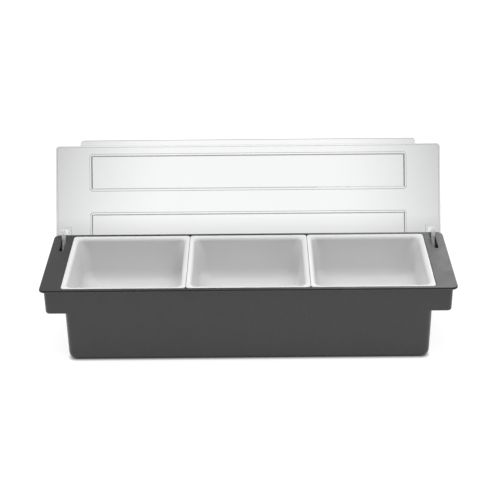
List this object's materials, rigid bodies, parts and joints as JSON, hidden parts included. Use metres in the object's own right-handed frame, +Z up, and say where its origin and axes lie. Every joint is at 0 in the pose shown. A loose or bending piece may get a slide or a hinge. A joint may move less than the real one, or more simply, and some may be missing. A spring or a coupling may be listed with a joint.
{
  "type": "condiment caddy",
  "caption": "Long covered bar caddy: a deep base with end grips, lift-out inserts and one clear lid that swings up on hooked arms.",
  "frame": {"origin": "middle of the base's flat underside, on the table", "axes": "+X along the caddy, towards its right end seen from the front; +Y from the front to the hinge side; +Z up"},
  "size_m": [0.5054, 0.2325, 0.2003],
  "materials": {
    "base": "dark grey moulded polypropylene, satin",
    "insert": "white moulded polypropylene, satin",
    "lid": "clear polycarbonate, polished",
    "pin": "plain steel"
  },
  "bodies": {
    "base": {"base": "base", "hinge_pin_left": "pin", "hinge_pin_right": "pin"},
    "insert_left": {"insert_left": "insert"},
    "insert_middle": {"insert_middle": "insert"},
    "insert_right": {"insert_right": "insert"},
    "lid": {"lid": "lid"}
  },
  "joints": [
    {"name": "lid_hinge", "type": "hinge", "parent": "base", "child": "lid", "pos_m": [0, 0.0645, 0.082], "axis": [-1, 0, 0], "range_deg": [-117, 0]},
    {"name": "insert_left_lift", "type": "slide", "parent": "base", "child": "insert_left", "axis": [0, 0, 1], "range_m": [0, 0.08]},
    {"name": "insert_middle_lift", "type": "slide", "parent": "base", "child": "insert_middle", "axis": [0, 0, 1], "range_m": [0, 0.08]},
    {"name": "insert_right_lift", "type": "slide", "parent": "base", "child": "insert_right", "axis": [0, 0, 1], "range_m": [0, 0.08]}
  ]
}
